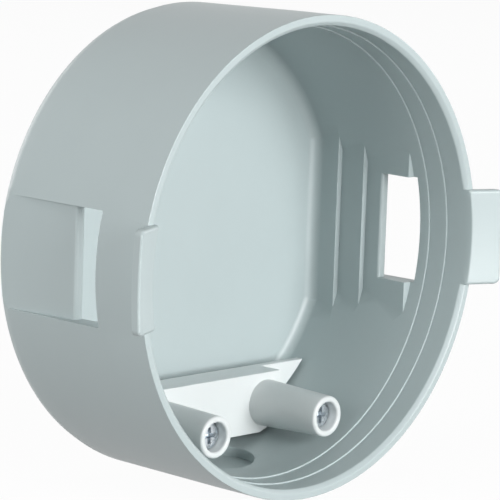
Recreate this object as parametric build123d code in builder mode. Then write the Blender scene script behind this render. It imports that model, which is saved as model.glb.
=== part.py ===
from build123d import *
from math import cos, pi, sin
import os

# Round flush back box for a wall, with a screwed strain-relief clamp in it.
# Millimetres. The axis is Y: the open front faces -Y, the rim lies in the plane y = 0, +Z is up.

# Cup
outer_radius = 30.0
depth = 26.4
floor_thickness = 1.5
wall_thickness = 1.35
ledge_step = 0.2
first_ledge_depth = 3.5
second_ledge_depth = 6.3
collar_depth = 7.6
draft_drop = 0.15
rim_edge_break = 0.5
back_edge_radius = 2.4
back_edge_facets = 3
floor_corner_radius = 1.45

# Lugs, windows and panels on the two sides sit a little above the axis
side_rise = 0.4

# Flat side panels, which slope outwards to the back, and the windows in front of them
panel_height = 13.9
panel_wall = 1.4
panel_inset = 2.0
panel_back_inset = 0.8
panel_step = 0.8
panel_lead = 0.5
first_level_length = 2.9
second_level_length = 4.2
window_front = 7.9
window_length = 5.4
window_outer_chamfer = 0.25
window_inner_chamfer = 0.3

# Lugs that stop the box at the wall's surface: tabs that lean forwards from the rim
lug_height = 12.4
lug_thickness = 1.35
lug_reach = 2.65
lug_front = 0.6
lug_lean = 1.8
lug_draft = 0.1
lug_edge_break = 0.25
lug_corner_radius = 0.8

# Cable entry: a thin knock-out in the bottom of the wall
entry_radius = 5.6
entry_setback = 7.6
entry_membrane = 1.1

# Clamp: a plate behind a bar, with a hollow post for each screw
wall_gap = 0.5
floor_gap = 2.7
plate_height = 9.5
plate_thickness = 1.2
bar_thickness = 3.5
bar_half_width = 12.8
bar_height = 7.9
post_spacing = 20.2
post_drop = 4.0
post_length = 11.0
post_wall = 0.8
post_flare = 0.4

# Screws, and the bosses of the box that they bite into
screw_radius = 1.1
screw_length = 12.5
screw_tip = 0.8
head_radius = 1.75
head_height = 1.5
head_edge_break = 0.3
head_recess_depth = 1.3
cross_width = 0.55
cross_rim = 0.4
cross_depth = 0.9
seat_thickness = 1.6
head_play = 0.1
seat_play = 0.05
screw_hole_play = 0.15
thread_play = 0.05
boss_wall = 0.75
boss_play = 0.3
boss_top_gap = 0.7
boss_hole_floor = 0.6

# Places that follow from the sizes above
floor_face = depth - floor_thickness
mouth_radius = outer_radius - wall_thickness
middle_radius = mouth_radius - ledge_step
inner_radius = middle_radius - ledge_step
rear_radius = inner_radius - draft_drop
back_radius = outer_radius - draft_drop
back_edge_angles = [step * pi / 2 / back_edge_facets for step in range(back_edge_facets + 1)]
panel_face = outer_radius - panel_inset
first_level = panel_face - panel_wall
panel_start = window_front + panel_lead
panel_end = depth + floor_thickness
window_rear = window_front + window_length
second_level_start = window_rear + first_level_length
third_level_start = second_level_start + second_level_length
panel_slope = (panel_inset - panel_back_inset) / (depth - window_rear)
lug_end = outer_radius + lug_reach
lug_foot = mouth_radius + lug_draft
lug_ring_radius = lug_end + lug_corner_radius
lug_slope = lug_lean / (lug_end - lug_foot)
lug_tip = lug_front + lug_slope * (lug_ring_radius - lug_foot)
entry_depth = floor_face - entry_setback
entry_floor = entry_membrane - outer_radius
clamp_radius = rear_radius - wall_gap
clamp_top = plate_height - clamp_radius
plate_rear = floor_face - floor_gap
plate_front = plate_rear - plate_thickness
bar_front = plate_front - bar_thickness
bar_bottom = clamp_top - bar_height
post_front = bar_front - post_length
head_hole_radius = head_radius + head_play
post_tip_radius = head_hole_radius + post_wall
post_base_radius = post_tip_radius + post_flare
screw_places = [(side * post_spacing / 2, clamp_top - post_drop) for side in (-1, 1)]
head_front = post_front + head_recess_depth
shank_start = head_front + head_height
seat_face = shank_start + seat_play
seat_rear = seat_face + seat_thickness
boss_top = seat_rear + boss_top_gap
pilot_radius = screw_radius + thread_play
boss_radius = pilot_radius + boss_wall
cross_span = 2 * (head_radius - head_edge_break - cross_rim)
search_width = 0.01

os.makedirs("parts", exist_ok=True)


def facing_front(y):
    """The plane at depth y that faces the open front, with +X to its right and +Z up."""
    return Plane.XZ.offset(-y)


def panel_at(y):
    """How far from the axis the outside of a side panel lies at depth y."""
    return panel_face + panel_slope * (y - window_rear)


def near(value):
    """The narrow range round a coordinate in which a face or edge is looked for."""
    return value - search_width, value + search_width


# Lugs: a ring that leans forwards, cut down to one tab on each side
with BuildPart() as lugs:
    with BuildSketch(Plane.XY):
        with BuildLine():
            Polyline(
                (lug_foot, -lug_front),
                (lug_ring_radius, -lug_tip),
                (lug_ring_radius, lug_thickness - lug_tip),
                (mouth_radius + wall_thickness / 2, rim_edge_break),
                (mouth_radius, rim_edge_break),
                close=True,
            )
        make_face()
    revolve(axis=Axis.Y)
    with BuildSketch(facing_front(rim_edge_break)):
        with Locations((0, side_rise)):
            RectangleRounded(2 * lug_end, lug_height, lug_corner_radius)
    extrude(amount=rim_edge_break + lug_tip, mode=Mode.INTERSECT)
    for side in (0, -1):
        lug_end_face = lugs.faces().filter_by(GeomType.PLANE).sort_by(Axis.X)[side]
        chamfer(lug_end_face.edges().sort_by(Axis.Y)[0], lug_edge_break)

# Flats inside the wall: they slope with the panels, and step inwards twice towards the floor
with BuildPart() as flats:
    levels = (
        (panel_start, second_level_start),
        (second_level_start, third_level_start),
        (third_level_start, floor_face),
    )
    with BuildSketch(Plane.XY):
        with BuildLine():
            Polyline(
                *[
                    (panel_at(y) - panel_wall - level * panel_step, y)
                    for level, span in enumerate(levels)
                    for y in span
                ],
                (outer_radius, floor_face),
                (outer_radius, panel_start),
                close=True,
            )
        make_face()
        mirror(about=Plane.YZ)
    extrude(amount=outer_radius, both=True)
    with BuildSketch(facing_front(panel_start)):
        Circle((inner_radius + outer_radius) / 2)
    extrude(amount=-(floor_face - panel_start), mode=Mode.INTERSECT)

# Box: one moulding, rounded off in narrow facets at its back
with BuildPart() as box:
    with BuildSketch(Plane.XY):
        with BuildLine():
            Polyline(
                (0, depth),
                *[
                    (
                        back_radius - back_edge_radius * (1 - sin(angle)),
                        depth - back_edge_radius * (1 - cos(angle)),
                    )
                    for angle in back_edge_angles
                ],
                (outer_radius, collar_depth),
                (outer_radius, 0),
                (mouth_radius, 0),
                (mouth_radius, first_ledge_depth),
                (middle_radius, first_ledge_depth),
                (middle_radius, second_ledge_depth),
                (inner_radius, second_ledge_depth),
                (rear_radius, floor_face),
                (0, floor_face),
                close=True,
            )
        make_face()
    revolve(axis=Axis.Y)
    rim_inner_edge = box.edges().filter_by(GeomType.CIRCLE).group_by(Axis.Y)[0].sort_by(SortBy.RADIUS)[0]
    chamfer(rim_inner_edge, rim_edge_break)

    add(flats.part)

    # Rounded corner all round the floor
    floor_inside = box.faces().filter_by(Axis.Y).filter_by_position(Axis.Y, *near(floor_face))
    fillet(floor_inside.edges(), floor_corner_radius)

    # Flat panels outside, each with a window in front of it
    with BuildSketch(Plane.XY.offset(side_rise)):
        with BuildLine():
            Polyline(
                (panel_at(window_front), window_front),
                (panel_at(panel_end), panel_end),
                (2 * outer_radius, panel_end),
                (2 * outer_radius, window_front),
                close=True,
            )
        make_face()
        mirror(about=Plane.YZ)
    extrude(amount=panel_height / 2, both=True, mode=Mode.SUBTRACT)
    with BuildSketch(facing_front(window_front)):
        with Locations((0, side_rise)):
            Rectangle(4 * outer_radius, panel_height)
            Rectangle(2 * (first_level - panel_wall), panel_height, mode=Mode.SUBTRACT)
    extrude(amount=-(window_rear - window_front), mode=Mode.SUBTRACT)
    for rank, size in ((1, window_inner_chamfer), (0, window_outer_chamfer)):
        rear_edges = box.edges().filter_by(Axis.Z).filter_by_position(Axis.Y, *near(window_rear))
        across = rear_edges.group_by(Axis.X)
        chamfer(across[rank] + across[-1 - rank], size)

    # Knock-out: a flat-bottomed hollow that thins the wall to a round membrane
    with BuildSketch(Plane.XY.offset(entry_floor)):
        with Locations((0, entry_depth)):
            Circle(entry_radius)
    extrude(amount=bar_bottom - entry_floor, mode=Mode.SUBTRACT)

    # Bosses for the clamp's screws
    with BuildSketch(facing_front(boss_top)):
        with Locations(*screw_places):
            Circle(boss_radius)
    extrude(amount=-(floor_face + floor_thickness / 2 - boss_top))
    with BuildSketch(facing_front(boss_top)):
        with Locations(*screw_places):
            Circle(pilot_radius)
    extrude(amount=-(depth - boss_hole_floor - boss_top), mode=Mode.SUBTRACT)

    add(lugs.part)

box.part.label = "box"
export_step(box.part, "parts/box.step")

# Cable clamp: a second, lighter moulding
with BuildPart() as cable_clamp:
    # Bar, with a tapered post for each screw
    with BuildSketch(facing_front(bar_front)):
        with Locations((0, clamp_top)):
            Rectangle(2 * bar_half_width, clamp_top - bar_bottom, align=(Align.CENTER, Align.MAX))
        with Locations(*screw_places):
            Circle(post_base_radius)
        Circle(clamp_radius, mode=Mode.INTERSECT)
    extrude(amount=-(plate_front - bar_front))
    with Locations(*[facing_front(bar_front) * Pos(x, z) for x, z in screw_places]):
        Cone(
            bottom_radius=post_base_radius,
            top_radius=post_tip_radius,
            height=post_length,
            align=(Align.CENTER, Align.CENTER, Align.MIN),
        )

    # Plate behind the bar
    with BuildSketch(facing_front(plate_front)):
        Circle(clamp_radius)
        with Locations((0, clamp_top)):
            Rectangle(2 * outer_radius, outer_radius, align=(Align.CENTER, Align.MAX), mode=Mode.INTERSECT)
    extrude(amount=-plate_thickness)

    # Each post takes the screw's head in front and slides on a boss of the box behind
    with Locations(*[facing_front(post_front) * Pos(x, z) for x, z in screw_places]):
        CounterBoreHole(
            radius=screw_radius + screw_hole_play,
            counter_bore_radius=head_hole_radius,
            counter_bore_depth=seat_face - post_front,
        )
    with BuildSketch(facing_front(plate_rear)):
        with Locations(*screw_places):
            Circle(boss_radius + boss_play)
    extrude(amount=plate_rear - seat_rear, mode=Mode.SUBTRACT)

cable_clamp.part.label = "cable_clamp"
export_step(cable_clamp.part, "parts/cable_clamp.step")

# Clamp screws: cross-recessed cheese heads on long shanks
for (screw_x, screw_z), side_name in zip(screw_places, ("left", "right")):
    with BuildPart() as clamp_screw:
        with BuildSketch(facing_front(head_front)):
            with Locations((screw_x, screw_z)):
                Circle(head_radius)
        extrude(amount=-head_height)
        chamfer(clamp_screw.edges().group_by(Axis.Y)[0], head_edge_break)
        with BuildSketch(facing_front(shank_start)):
            with Locations((screw_x, screw_z)):
                Circle(screw_radius)
        extrude(amount=-screw_length)
        chamfer(clamp_screw.edges().group_by(Axis.Y)[-1], screw_tip)
        with BuildSketch(facing_front(head_front)):
            with Locations((screw_x, screw_z)):
                Rectangle(cross_span, cross_width)
                Rectangle(cross_width, cross_span)
        extrude(amount=-cross_depth, mode=Mode.SUBTRACT)
    clamp_screw.part.label = f"{side_name}_clamp_screw"
    export_step(clamp_screw.part, f"parts/{side_name}_clamp_screw.step")
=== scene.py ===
import math

import bmesh
import bpy
from bpy.props import FloatProperty, FloatVectorProperty, IntProperty, PointerProperty
from mathutils import Matrix, Vector


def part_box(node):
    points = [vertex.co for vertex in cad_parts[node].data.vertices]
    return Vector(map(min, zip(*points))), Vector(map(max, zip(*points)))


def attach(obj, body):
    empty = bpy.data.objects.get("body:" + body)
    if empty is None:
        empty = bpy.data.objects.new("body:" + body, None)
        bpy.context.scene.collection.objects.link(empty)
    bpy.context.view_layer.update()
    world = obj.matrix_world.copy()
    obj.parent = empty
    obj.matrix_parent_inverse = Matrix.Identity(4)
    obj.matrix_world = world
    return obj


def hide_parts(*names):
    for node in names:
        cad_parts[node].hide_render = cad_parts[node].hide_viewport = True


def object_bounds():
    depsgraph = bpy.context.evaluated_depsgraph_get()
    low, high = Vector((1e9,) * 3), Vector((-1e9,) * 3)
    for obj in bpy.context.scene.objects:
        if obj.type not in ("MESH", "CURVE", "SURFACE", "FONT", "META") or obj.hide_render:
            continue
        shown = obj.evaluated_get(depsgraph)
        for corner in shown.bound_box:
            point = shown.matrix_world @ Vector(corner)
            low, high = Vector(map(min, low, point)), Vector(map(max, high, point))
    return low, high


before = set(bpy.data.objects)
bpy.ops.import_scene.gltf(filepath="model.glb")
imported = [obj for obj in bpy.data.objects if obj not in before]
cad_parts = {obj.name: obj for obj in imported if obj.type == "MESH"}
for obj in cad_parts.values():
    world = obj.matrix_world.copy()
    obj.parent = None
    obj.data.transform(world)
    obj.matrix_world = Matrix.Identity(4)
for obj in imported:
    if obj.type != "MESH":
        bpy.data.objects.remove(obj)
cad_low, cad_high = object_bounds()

bl_info = {
    "name": "Flush back box",
    "version": (1, 0, 0),
    "blender": (4, 5, 0),
    "location": "View3D > Sidebar > Back box",
    "description":
        "Dresses the packed flush back box with softened mouldings, screws, plastics and a studio",
    "category": "Object",
}

MM = 0.001
# Points nearer to each other than this are one point
WELD = 0.001 * MM
# Neighbouring triangles that turn by less than this are one flat face
FLAT_ANGLE = math.radians(0.1)
# Edges that turn outwards by more than this are rounded
EDGE_ANGLE = math.radians(33)
# Edges that turn by more than this are shaded as creases
CREASE_ANGLE = math.radians(38)
# Faces across a rounded edge
EDGE_STEPS = 2
HEAD_EDGE_STEPS = 3
TIP_STEPS = 4

SCREW_SIDES = ("left", "right")
# Outline of a thread tooth: height as a share of the depth, and place as a share of the pitch
TOOTH = ((0, 0.0), (0, 0.3), (1, 0.5), (1, 0.6), (0, 0.8))
# Plain neck between head and thread, as a share of the pitch
NECK_SHARE = 0.25

SENSOR_WIDTH_MM = 36
# Each lamp's name, width and distance in metres, and azimuth and elevation in degrees
LAMPS = (
    ("front", 0.5, 0.8, 0, 10),
    ("near", 0.2, 0.3, 0, 0),
    ("left", 0.5, 0.8, -90, 10),
    ("right", 0.5, 0.8, 90, 10),
    ("top", 0.5, 0.8, -120, 60),
    ("back", 0.5, 0.8, 180, 10),
)


def linear(code):
    """The linear colour of an sRGB hex value such as B0BCBD."""
    shares = [int(code[i:i + 2], 16) / 255 for i in (0, 2, 4)]
    return tuple(s / 12.92 if s <= 0.04045 else ((s + 0.055) / 1.055) ** 2.4 for s in shares)


class BoxFinish(bpy.types.PropertyGroup):
    """Sizes and colours of the box moulding"""

    colour: FloatVectorProperty(
        name="Box plastic", description="Light grey that the box is moulded in",
        subtype="COLOR", size=3, min=0, max=1, default=linear("B0BCBD"))
    shade: FloatVectorProperty(
        name="Box plastic, cooler patches",
        description="Grey of the patches where the melt cooled first",
        subtype="COLOR", size=3, min=0, max=1, default=linear("ACB8B9"))
    roughness: FloatProperty(
        name="Roughness", description="Roughness of the satin surface",
        subtype="FACTOR", min=0, max=1, default=0.38)
    edge_radius: FloatProperty(
        name="Edge radius", description="Rounding that the mould gives to each outside edge",
        unit="LENGTH", subtype="DISTANCE", min=0, precision=5, default=0.14 * MM)


class ClampFinish(bpy.types.PropertyGroup):
    """Sizes and colours of the cable clamp"""

    colour: FloatVectorProperty(
        name="Clamp plastic", description="Off-white that the clamp is moulded in",
        subtype="COLOR", size=3, min=0, max=1, default=linear("D6DBDB"))
    shade: FloatVectorProperty(
        name="Clamp plastic, cooler patches",
        description="White of the patches where the melt cooled first",
        subtype="COLOR", size=3, min=0, max=1, default=linear("D1D6D6"))
    roughness: FloatProperty(
        name="Roughness", description="Roughness of the satin surface",
        subtype="FACTOR", min=0, max=1, default=0.3)
    edge_radius: FloatProperty(
        name="Edge radius", description="Rounding that the mould gives to each outside edge",
        unit="LENGTH", subtype="DISTANCE", min=0, precision=5, default=0.15 * MM)
    tip_radius: FloatProperty(
        name="Tip radius", description="Rounding of both edges at the front of each post",
        unit="LENGTH", subtype="DISTANCE", min=0, precision=5, default=0.32 * MM)


class ScrewSizes(bpy.types.PropertyGroup):
    """Sizes and colours of the clamp screws"""

    colour: FloatVectorProperty(
        name="Zinc", description="Colour of the bright zinc plating",
        subtype="COLOR", size=3, min=0, max=1, default=linear("D6DBDE"))
    shade: FloatVectorProperty(
        name="Zinc, edges of crystals", description="Bluer zinc between the plating's crystals",
        subtype="COLOR", size=3, min=0, max=1, default=linear("C3CBD2"))
    roughness: FloatProperty(
        name="Roughness", description="Roughness of the plating",
        subtype="FACTOR", min=0, max=1, default=0.26)
    head_height: FloatProperty(
        name="Head height", description="Height of the cheese head",
        unit="LENGTH", subtype="DISTANCE", min=0, precision=5, default=1.5 * MM)
    head_edge: FloatProperty(
        name="Head edge", description="Rounding of the head's front edge",
        unit="LENGTH", subtype="DISTANCE", min=0, precision=5, default=0.3 * MM)
    cross_width: FloatProperty(
        name="Cross width", description="Width of an arm of the cross recess",
        unit="LENGTH", subtype="DISTANCE", min=0, precision=5, default=0.55 * MM)
    cross_span: FloatProperty(
        name="Cross span", description="Length of the cross recess from arm end to arm end",
        unit="LENGTH", subtype="DISTANCE", min=0, precision=5, default=2.1 * MM)
    cross_depth: FloatProperty(
        name="Cross depth", description="Depth of the cross recess",
        unit="LENGTH", subtype="DISTANCE", min=0, precision=5, default=0.9 * MM)
    cross_taper: FloatProperty(
        name="Cross taper", description="Size of the recess's floor as a share of its mouth",
        subtype="FACTOR", min=0, max=1, default=0.6)
    shank_radius: FloatProperty(
        name="Shank radius", description="Radius of the thread's crest",
        unit="LENGTH", subtype="DISTANCE", min=0, precision=5, default=1.1 * MM)
    thread_pitch: FloatProperty(
        name="Thread pitch", description="Advance of the thread in one turn",
        unit="LENGTH", subtype="DISTANCE", min=0, precision=5, default=1.1 * MM)
    thread_depth: FloatProperty(
        name="Thread depth", description="Depth of the thread from crest to root",
        unit="LENGTH", subtype="DISTANCE", min=0, precision=5, default=0.28 * MM)
    tip_length: FloatProperty(
        name="Tip length", description="Least length of the tapered tip",
        unit="LENGTH", subtype="DISTANCE", min=0, precision=5, default=0.8 * MM)
    tip_share: FloatProperty(
        name="Tip size", description="Radius of the tip's end as a share of the thread's root",
        subtype="FACTOR", min=0, max=1, default=0.3)
    segments: IntProperty(
        name="Segments", description="Sides of the round head and steps of one turn of the thread",
        min=12, default=48)


class StudioSettings(bpy.types.PropertyGroup):
    """Camera, floor and lamps"""

    azimuth: FloatProperty(
        name="Camera azimuth",
        description="Turn of the camera round the object, from the open front",
        subtype="ANGLE", default=math.radians(-46.3523))
    elevation: FloatProperty(
        name="Camera elevation", description="Height of the camera above the horizon",
        subtype="ANGLE", default=math.radians(8.8224))
    roll: FloatProperty(
        name="Camera roll", description="Turn of the camera about its line of sight",
        subtype="ANGLE", default=math.radians(2.003))
    lens: FloatProperty(
        name="Lens", description="Focal length on a sensor 36 mm wide",
        unit="CAMERA", min=1, default=208.68)
    distance: FloatProperty(
        name="Camera distance", description="Distance from the camera to the plane of the aim",
        unit="LENGTH", subtype="DISTANCE", min=0, default=355.15 * MM)
    aim_right: FloatProperty(
        name="Aim to the right",
        description="Sideways place of the frame's middle, seen from the camera",
        unit="LENGTH", subtype="DISTANCE", precision=5, default=-8.357 * MM)
    aim_up: FloatProperty(
        name="Aim upwards", description="Height of the frame's middle, seen from the camera",
        unit="LENGTH", subtype="DISTANCE", precision=5, default=1.189 * MM)
    floor_colour: FloatVectorProperty(
        name="Floor", description="Pale colour of the studio floor",
        subtype="COLOR", size=3, min=0, max=1, default=linear("F2F2F2"))
    floor_bounce: FloatVectorProperty(
        name="Floor bounce",
        description="Colour of the floor in the light that it throws back at the object",
        subtype="COLOR", size=3, min=0, max=1, default=linear("8A8A8A"))
    floor_size: FloatProperty(
        name="Floor size", description="Half the width of the studio floor",
        unit="LENGTH", subtype="DISTANCE", min=0, default=1.6)
    ambient: FloatProperty(
        name="Room light", description="Strength of the even light from the white room",
        min=0, default=0.0)
    front_power: FloatProperty(
        name="Front lamp", description="Power of the large soft lamp in front of the open mouth",
        unit="POWER", min=0, default=7.8)
    near_power: FloatProperty(
        name="Near lamp", description="Power of the small soft lamp close to the open mouth",
        unit="POWER", min=0, default=0.5)
    left_power: FloatProperty(
        name="Left lamp", description="Power of the soft lamp on the left",
        unit="POWER", min=0, default=5.0)
    right_power: FloatProperty(
        name="Right lamp", description="Power of the soft lamp on the right",
        unit="POWER", min=0, default=2.5)
    top_power: FloatProperty(
        name="Top lamp", description="Power of the soft lamp above and behind on the left",
        unit="POWER", min=0, default=1.0)
    back_power: FloatProperty(
        name="Back lamp", description="Power of the soft lamp behind the closed back",
        unit="POWER", min=0, default=1.5)


def empty_tree(holder):
    """The cleared node tree of a new material or world."""
    holder.use_nodes = True
    holder.node_tree.nodes.clear()
    return holder.node_tree


def add_node(tree, kind, inputs=None, **settings):
    """Adds a node with its settings; an input is a value or the socket that feeds it."""
    node = tree.nodes.new(kind)
    for name, value in settings.items():
        setattr(node, name, value)
    for name, value in (inputs or {}).items():
        if isinstance(value, bpy.types.NodeSocket):
            tree.links.new(value, node.inputs[name])
        else:
            node.inputs[name].default_value = value
    return node


def moulded_plastic(name, finish):
    """Moulded thermoplastic with a fine eroded texture: an even, satin body colour with soft
    highlights, faint cloudy patches, and a grain that only breaks up the gloss a little."""
    material = bpy.data.materials.new(name)
    tree = empty_tree(material)
    place = add_node(tree, "ShaderNodeTexCoord").outputs["Object"]
    patch_size = 9 * MM
    clouds = add_node(
        tree, "ShaderNodeTexNoise",
        {"Vector": place, "Scale": 1 / patch_size, "Detail": 3.0, "Roughness": 0.5})
    body = add_node(
        tree, "ShaderNodeMix",
        {"Factor": clouds.outputs["Fac"], "A": (*finish.shade, 1), "B": (*finish.colour, 1)},
        data_type="RGBA")
    # The real texture is about 0.05 mm; it is drawn at 0.3 mm, the finest that shows
    grain_size = 0.3 * MM
    grain_depth = 0.02 * MM
    gloss_spread = 0.05
    grain = add_node(
        tree, "ShaderNodeTexNoise",
        {"Vector": place, "Scale": 1 / grain_size, "Detail": 2.0, "Roughness": 0.6})
    gloss = add_node(
        tree, "ShaderNodeMapRange",
        {"Value": grain.outputs["Fac"], "To Min": finish.roughness - gloss_spread,
         "To Max": finish.roughness + gloss_spread})
    relief = add_node(
        tree, "ShaderNodeBump",
        {"Height": grain.outputs["Fac"], "Strength": 0.12, "Distance": grain_depth})
    surface = add_node(
        tree, "ShaderNodeBsdfPrincipled",
        {"Base Color": body.outputs["Result"], "Roughness": gloss.outputs["Result"],
         "Normal": relief.outputs["Normal"], "IOR": 1.49})
    add_node(tree, "ShaderNodeOutputMaterial", {"Surface": surface.outputs["BSDF"]})
    return material


def zinc_plating(sizes):
    """Steel with bright zinc plating: a slightly blue metal whose crystals scatter the
    reflection a little."""
    material = bpy.data.materials.new("Bright zinc plated steel")
    tree = empty_tree(material)
    place = add_node(tree, "ShaderNodeTexCoord").outputs["Object"]
    # Plating crystals are far finer; drawn at 0.2 mm so that they show
    crystal_size = 0.2 * MM
    smoother, rougher = 0.04, 0.1
    crystals = add_node(
        tree, "ShaderNodeTexVoronoi", {"Vector": place, "Scale": 1 / crystal_size})
    tint = add_node(
        tree, "ShaderNodeMix",
        {"Factor": crystals.outputs["Distance"], "A": (*sizes.colour, 1), "B": (*sizes.shade, 1)},
        data_type="RGBA")
    gloss = add_node(
        tree, "ShaderNodeMapRange",
        {"Value": crystals.outputs["Distance"], "To Min": sizes.roughness - smoother,
         "To Max": sizes.roughness + rougher})
    surface = add_node(
        tree, "ShaderNodeBsdfPrincipled",
        {"Base Color": tint.outputs["Result"], "Roughness": gloss.outputs["Result"],
         "Metallic": 1.0})
    add_node(tree, "ShaderNodeOutputMaterial", {"Surface": surface.outputs["BSDF"]})
    return material


def merged_copy(node):
    """A copy of a CAD node's mesh with its triangles welded and its flat areas made whole."""
    bm = bmesh.new()
    bm.from_mesh(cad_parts[node].data)
    bmesh.ops.remove_doubles(bm, verts=bm.verts, dist=WELD)
    bmesh.ops.dissolve_limit(bm, angle_limit=FLAT_ANGLE, verts=bm.verts, edges=bm.edges)
    return bm


def outside_edges(bm):
    """The edges where the surface turns sharply outwards."""
    return [edge for edge in bm.edges if edge.calc_face_angle_signed() > EDGE_ANGLE]


def round_edges(bm, edges, radius, segments=EDGE_STEPS):
    """Rounds edges as a mould does."""
    bmesh.ops.bevel(
        bm, geom=edges, offset=radius, offset_type="OFFSET", affect="EDGES",
        segments=segments, profile=0.5, material=-1, loop_slide=True)


def finished_piece(bm, name, body, slot, material, *nodes):
    """Makes an object of a bmesh, closed, facing outwards and shaded smooth up to its creases,
    that rides on a body in place of CAD nodes."""
    bmesh.ops.remove_doubles(bm, verts=bm.verts, dist=WELD)
    bmesh.ops.dissolve_degenerate(bm, edges=bm.edges, dist=WELD)
    bmesh.ops.recalc_face_normals(bm, faces=bm.faces)
    if bm.calc_volume(signed=True) < 0:
        bmesh.ops.reverse_faces(bm, faces=bm.faces)
    for face in bm.faces:
        face.smooth = True
    for edge in bm.edges:
        edge.smooth = edge.calc_face_angle() < CREASE_ANGLE
    mesh = bpy.data.meshes.new(name)
    bm.to_mesh(mesh)
    bm.free()
    # Normals that come along from a CAD mesh don't fit the rounded edges
    if "custom_normal" in mesh.attributes:
        mesh.attributes.remove(mesh.attributes["custom_normal"])
    mesh.materials.append(material)
    piece = bpy.data.objects.new(name, mesh)
    bpy.context.scene.collection.objects.link(piece)
    even = piece.modifiers.new("Even shading of flats", "WEIGHTED_NORMAL")
    even.keep_sharp = True
    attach(piece, body)
    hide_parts(*nodes)


class BACKBOX_OT_box(bpy.types.Operator):
    """Makes the box moulding from the CAD solid, with rounded edges and grey plastic"""

    bl_idname = "backbox.box"
    bl_label = "Box moulding"

    def execute(self, context):
        finish = context.scene.backbox_box
        bm = merged_copy("box")
        round_edges(bm, outside_edges(bm), finish.edge_radius)
        plastic = moulded_plastic("Moulded light grey thermoplastic", finish)
        finished_piece(bm, "box_moulding", "box", "box_plastic", plastic, "box")
        return {"FINISHED"}


class BACKBOX_OT_clamp(bpy.types.Operator):
    """Makes the cable clamp from the CAD solid, with rounded edges and off-white plastic"""

    bl_idname = "backbox.clamp"
    bl_label = "Cable clamp"

    def execute(self, context):
        finish = context.scene.backbox_clamp
        bm = merged_copy("cable_clamp")
        edges = outside_edges(bm)
        front = min(vert.co.y for vert in bm.verts)
        tips = [edge for edge in edges if max(vert.co.y for vert in edge.verts) < front + WELD]
        others = [edge for edge in edges if edge not in tips]
        round_edges(bm, tips, finish.tip_radius, segments=TIP_STEPS)
        round_edges(bm, others, finish.edge_radius)
        plastic = moulded_plastic("Moulded off-white thermoplastic", finish)
        finished_piece(bm, "clamp_moulding", "clamp", "clamp_plastic", plastic, "cable_clamp")
        return {"FINISHED"}


def ring_verts(edges):
    """The vertices of a ring of edges."""
    return list({vert for edge in edges for vert in edge.verts})


def extruded_ring(bm, edges):
    """Extrudes a ring of open edges in place, and gives the new ring."""
    made = bmesh.ops.extrude_edge_only(bm, edges=edges)["geom"]
    return [item for item in made if isinstance(item, bmesh.types.BMEdge) and item.is_boundary]


def screw_head(bm, sizes, head_radius):
    """A cheese head with a cross recess, with its front at z = 0; gives the ring of its open
    underside."""
    bmesh.ops.create_circle(bm, cap_ends=True, radius=head_radius, segments=sizes.segments)
    arm, reach = sizes.cross_width / 2, sizes.cross_span / 2
    for axis in (Vector((1, 0, 0)), Vector((0, 1, 0))):
        for at in (-reach, -arm, arm, reach):
            bmesh.ops.bisect_plane(
                bm, geom=bm.verts[:] + bm.edges[:] + bm.faces[:],
                plane_co=axis * at, plane_no=axis)
    across = [(face, *sorted(map(abs, face.calc_center_median()[:2]))) for face in bm.faces]
    cross = [face for face, near, far in across if near < arm and far < reach]
    sunk = bmesh.ops.extrude_face_region(bm, geom=cross)
    bmesh.ops.delete(bm, geom=cross, context="FACES")
    floor_verts = [item for item in sunk["geom"] if isinstance(item, bmesh.types.BMVert)]
    bmesh.ops.translate(bm, vec=(0, 0, -sizes.cross_depth), verts=floor_verts)
    bmesh.ops.scale(bm, vec=(sizes.cross_taper, sizes.cross_taper, 1), verts=floor_verts)
    rim = [edge for edge in bm.edges if edge.is_boundary]
    side = extruded_ring(bm, rim)
    bmesh.ops.translate(bm, vec=(0, 0, -sizes.head_height), verts=ring_verts(side))
    round_edges(bm, rim, sizes.head_edge, segments=HEAD_EDGE_STEPS)
    return [edge for edge in bm.edges if edge.is_boundary]


def screw_thread(bm, sizes, top, turns):
    """A right-hand thread that hangs from z = top, open at both ends; gives the upper and lower
    rings."""
    pitch = sizes.thread_pitch
    root = sizes.shank_radius - sizes.thread_depth
    before = set(bm.edges)
    verts = [
        bm.verts.new((root + height * sizes.thread_depth, 0, top - pitch * (turn + share)))
        for turn in range(turns) for height, share in TOOTH]
    edges = [bm.edges.new(ends) for ends in zip(verts, verts[1:])]
    bmesh.ops.spin(
        bm, geom=verts + edges, cent=(0, 0, 0), axis=(0, 0, 1),
        dvec=(0, 0, -pitch / sizes.segments), angle=-2 * math.pi, steps=sizes.segments,
        use_merge=False)
    thread_verts = ring_verts(set(bm.edges) - before)
    bmesh.ops.remove_doubles(bm, verts=thread_verts, dist=WELD)
    ends = [edge for edge in bm.edges if edge not in before and edge.is_boundary]
    middle = top - pitch * (turns + 1) / 2
    upper = [edge for edge in ends if edge.verts[0].co.z > middle]
    return upper, [edge for edge in ends if edge not in upper]


def clamp_screw(sizes, head_radius, length):
    """A closed screw that hangs from the front of its head at z = 0."""
    bm = bmesh.new()
    head_ring = screw_head(bm, sizes, head_radius)
    top = -sizes.head_height - NECK_SHARE * sizes.thread_pitch
    # The spin carries the profile down by one pitch more
    turns = int((length - sizes.tip_length + top) / sizes.thread_pitch) - 1
    upper, lower = screw_thread(bm, sizes, top, turns)
    seat = extruded_ring(bm, head_ring)
    share = (sizes.shank_radius - sizes.thread_depth) / head_radius
    bmesh.ops.scale(bm, vec=(share, share, 1), verts=ring_verts(seat))
    bmesh.ops.bridge_loops(bm, edges=seat + upper)
    # The tip's end is drawn in and laid flat at the screw's full length
    tip = extruded_ring(bm, lower)
    bmesh.ops.scale(
        bm, vec=(sizes.tip_share, sizes.tip_share, 0), verts=ring_verts(tip),
        space=Matrix.Translation((0, 0, length)))
    bmesh.ops.edgeloop_fill(bm, edges=tip)
    return bm


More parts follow.
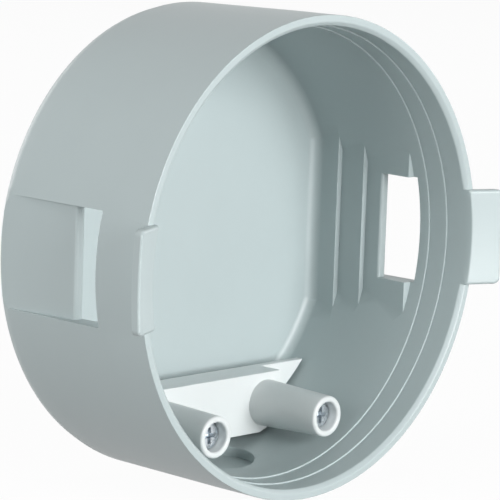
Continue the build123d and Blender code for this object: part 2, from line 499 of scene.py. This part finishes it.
class BACKBOX_OT_screws(bpy.types.Operator):
    """Makes the two clamp screws with cross recess and thread, in zinc-plated steel"""

    bl_idname = "backbox.screws"
    bl_label = "Clamp screws"

    def execute(self, context):
        sizes = context.scene.backbox_screws
        plating = zinc_plating(sizes)
        into_wall = Matrix.Rotation(math.pi / 2, 4, "X")
        for side in SCREW_SIDES:
            node = f"{side}_clamp_screw"
            low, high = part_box(node)
            middle = (low + high) / 2
            bm = clamp_screw(sizes, (high.x - low.x) / 2, high.y - low.y)
            place = Matrix.Translation((middle.x, low.y, middle.z)) @ into_wall
            bmesh.ops.transform(bm, matrix=place, verts=bm.verts)
            finished_piece(
                bm, f"{side}_screw_steel", f"{side}_screw", "screw_steel", plating, node)
        return {"FINISHED"}


def seen_plainly(tree):
    """The socket that is 1 where the camera, a reflection or glass sees a surface, and 0 where
    the surface lights the object."""
    path = add_node(tree, "ShaderNodeLightPath")
    seen = path.outputs["Is Camera Ray"]
    for ray in ("Is Glossy Ray", "Is Transmission Ray"):
        either = add_node(
            tree, "ShaderNodeMath", {0: seen, 1: path.outputs[ray]}, operation="MAXIMUM")
        seen = either.outputs[0]
    return seen


def studio_paper(settings):
    """White studio paper: it shows as clean white and keeps a faint shadow of what stands on
    it."""
    material = bpy.data.materials.new("White studio paper")
    tree = empty_tree(material)
    place = add_node(tree, "ShaderNodeTexCoord").outputs["Object"]
    fibre_size = 0.4 * MM
    fibre_depth = 0.02 * MM
    # The rest of what is seen keeps the shadow
    plain_white_share = 0.96
    fibres = add_node(tree, "ShaderNodeTexNoise", {"Vector": place, "Scale": 1 / fibre_size})
    relief = add_node(
        tree, "ShaderNodeBump",
        {"Height": fibres.outputs["Fac"], "Strength": 0.05, "Distance": fibre_depth})
    seen = seen_plainly(tree)
    tone = add_node(
        tree, "ShaderNodeMix",
        {"Factor": seen, "A": (*settings.floor_bounce, 1), "B": (*settings.floor_colour, 1)},
        data_type="RGBA")
    paper = add_node(
        tree, "ShaderNodeBsdfDiffuse",
        {"Color": tone.outputs["Result"], "Normal": relief.outputs["Normal"]})
    white = add_node(tree, "ShaderNodeEmission", {"Strength": 1.0})
    share = add_node(
        tree, "ShaderNodeMath", {0: seen, 1: plain_white_share}, operation="MULTIPLY")
    mix = add_node(
        tree, "ShaderNodeMixShader",
        {0: share.outputs[0], 1: paper.outputs[0], 2: white.outputs[0]})
    add_node(tree, "ShaderNodeOutputMaterial", {"Surface": mix.outputs[0]})
    return material


def paper_floor(settings):
    """The floor under the object, which isn't part of it."""
    bm = bmesh.new()
    bmesh.ops.create_grid(bm, x_segments=1, y_segments=1, size=settings.floor_size)
    bmesh.ops.translate(bm, vec=(0, 0, cad_low.z), verts=bm.verts)
    mesh = bpy.data.meshes.new("floor")
    bm.to_mesh(mesh)
    bm.free()
    mesh.materials.append(studio_paper(settings))
    floor = bpy.data.objects.new("floor", mesh)
    bpy.context.scene.collection.objects.link(floor)


def white_room(settings):
    """A white world: the camera and the reflections see plain white, and the object gets as much
    even light from it as is set."""
    world = bpy.data.worlds.new("White room")
    tree = empty_tree(world)
    strength = add_node(
        tree, "ShaderNodeMapRange",
        {"Value": seen_plainly(tree), "To Min": settings.ambient, "To Max": 1.0})
    light = add_node(
        tree, "ShaderNodeBackground",
        {"Color": (1, 1, 1, 1), "Strength": strength.outputs["Result"]})
    add_node(tree, "ShaderNodeOutputWorld", {"Surface": light.outputs[0]})
    bpy.context.scene.world = world


def direction(azimuth, elevation):
    """The direction from the object to a camera or lamp, by angles in radians; azimuth 0 is the
    open front."""
    level = math.cos(elevation)
    return Vector((math.sin(azimuth) * level, -math.cos(azimuth) * level, math.sin(elevation)))


def soft_lamp(name, power, size, distance, azimuth, elevation):
    """A soft square lamp that faces the object from a direction given in degrees."""
    back = direction(math.radians(azimuth), math.radians(elevation))
    lamp = bpy.data.lights.new(name, "AREA")
    lamp.shape = "SQUARE"
    lamp.size = size
    lamp.energy = power
    holder = bpy.data.objects.new(name, lamp)
    turn = back.to_track_quat("Z", "Y").to_matrix().to_4x4()
    holder.matrix_world = Matrix.Translation(back * distance) @ turn
    bpy.context.scene.collection.objects.link(holder)


def photo_camera(settings):
    """The camera at the photograph's viewing angle and frame."""
    back = direction(settings.azimuth, settings.elevation)
    level_right = Vector((0, 0, 1)).cross(back).normalized()
    level_up = back.cross(level_right)
    right = level_right * math.cos(settings.roll) + level_up * math.sin(settings.roll)
    up = back.cross(right)
    camera = bpy.data.cameras.new("Camera")
    camera.sensor_width = SENSOR_WIDTH_MM
    camera.lens = settings.lens
    holder = bpy.data.objects.new("Camera", camera)
    spot = right * settings.aim_right + up * settings.aim_up + back * settings.distance
    turn = Matrix((right, up, back)).transposed().to_4x4()
    holder.matrix_world = Matrix.Translation(spot) @ turn
    bpy.context.scene.collection.objects.link(holder)
    return holder


class BACKBOX_OT_stage(bpy.types.Operator):
    """Sets up the camera, the floor, the lamps and the white room"""

    bl_idname = "backbox.stage"
    bl_label = "Studio"

    def execute(self, context):
        scene = context.scene
        settings = scene.backbox_studio
        scene.view_settings.view_transform = "Standard"
        scene.camera = photo_camera(settings)
        paper_floor(settings)
        for name, size, distance, azimuth, elevation in LAMPS:
            power = getattr(settings, f"{name}_power")
            soft_lamp(f"{name.capitalize()} lamp", power, size, distance, azimuth, elevation)
        white_room(settings)
        return {"FINISHED"}


# Each group of settings as the scene holds it, with the operator that uses it
GROUPS = (
    ("backbox_box", BoxFinish, BACKBOX_OT_box),
    ("backbox_clamp", ClampFinish, BACKBOX_OT_clamp),
    ("backbox_screws", ScrewSizes, BACKBOX_OT_screws),
    ("backbox_studio", StudioSettings, BACKBOX_OT_stage),
)


class BACKBOX_PT_sidebar(bpy.types.Panel):
    """Lists the pieces of the back box, with their sizes and colours"""

    bl_idname = "BACKBOX_PT_sidebar"
    bl_label = "Flush back box"
    bl_space_type = "VIEW_3D"
    bl_region_type = "UI"
    bl_category = "Back box"

    def draw(self, context):
        for group_name, settings, operator in GROUPS:
            part = self.layout.box()
            part.operator(operator.bl_idname)
            for name in settings.__annotations__:
                part.prop(getattr(context.scene, group_name), name)


classes = (
    BoxFinish,
    ClampFinish,
    ScrewSizes,
    StudioSettings,
    BACKBOX_OT_box,
    BACKBOX_OT_clamp,
    BACKBOX_OT_screws,
    BACKBOX_OT_stage,
    BACKBOX_PT_sidebar,
)


def register():
    for item in classes:
        bpy.utils.register_class(item)
    for group_name, settings, _ in GROUPS:
        setattr(bpy.types.Scene, group_name, PointerProperty(type=settings))


def unregister():
    for group_name, _, _ in reversed(GROUPS):
        delattr(bpy.types.Scene, group_name)
    for item in reversed(classes):
        bpy.utils.unregister_class(item)


def main():
    register()
    bpy.ops.backbox.box()
    bpy.ops.backbox.clamp()
    bpy.ops.backbox.screws()
    bpy.ops.backbox.stage()


if __name__ == "__main__":
    main()
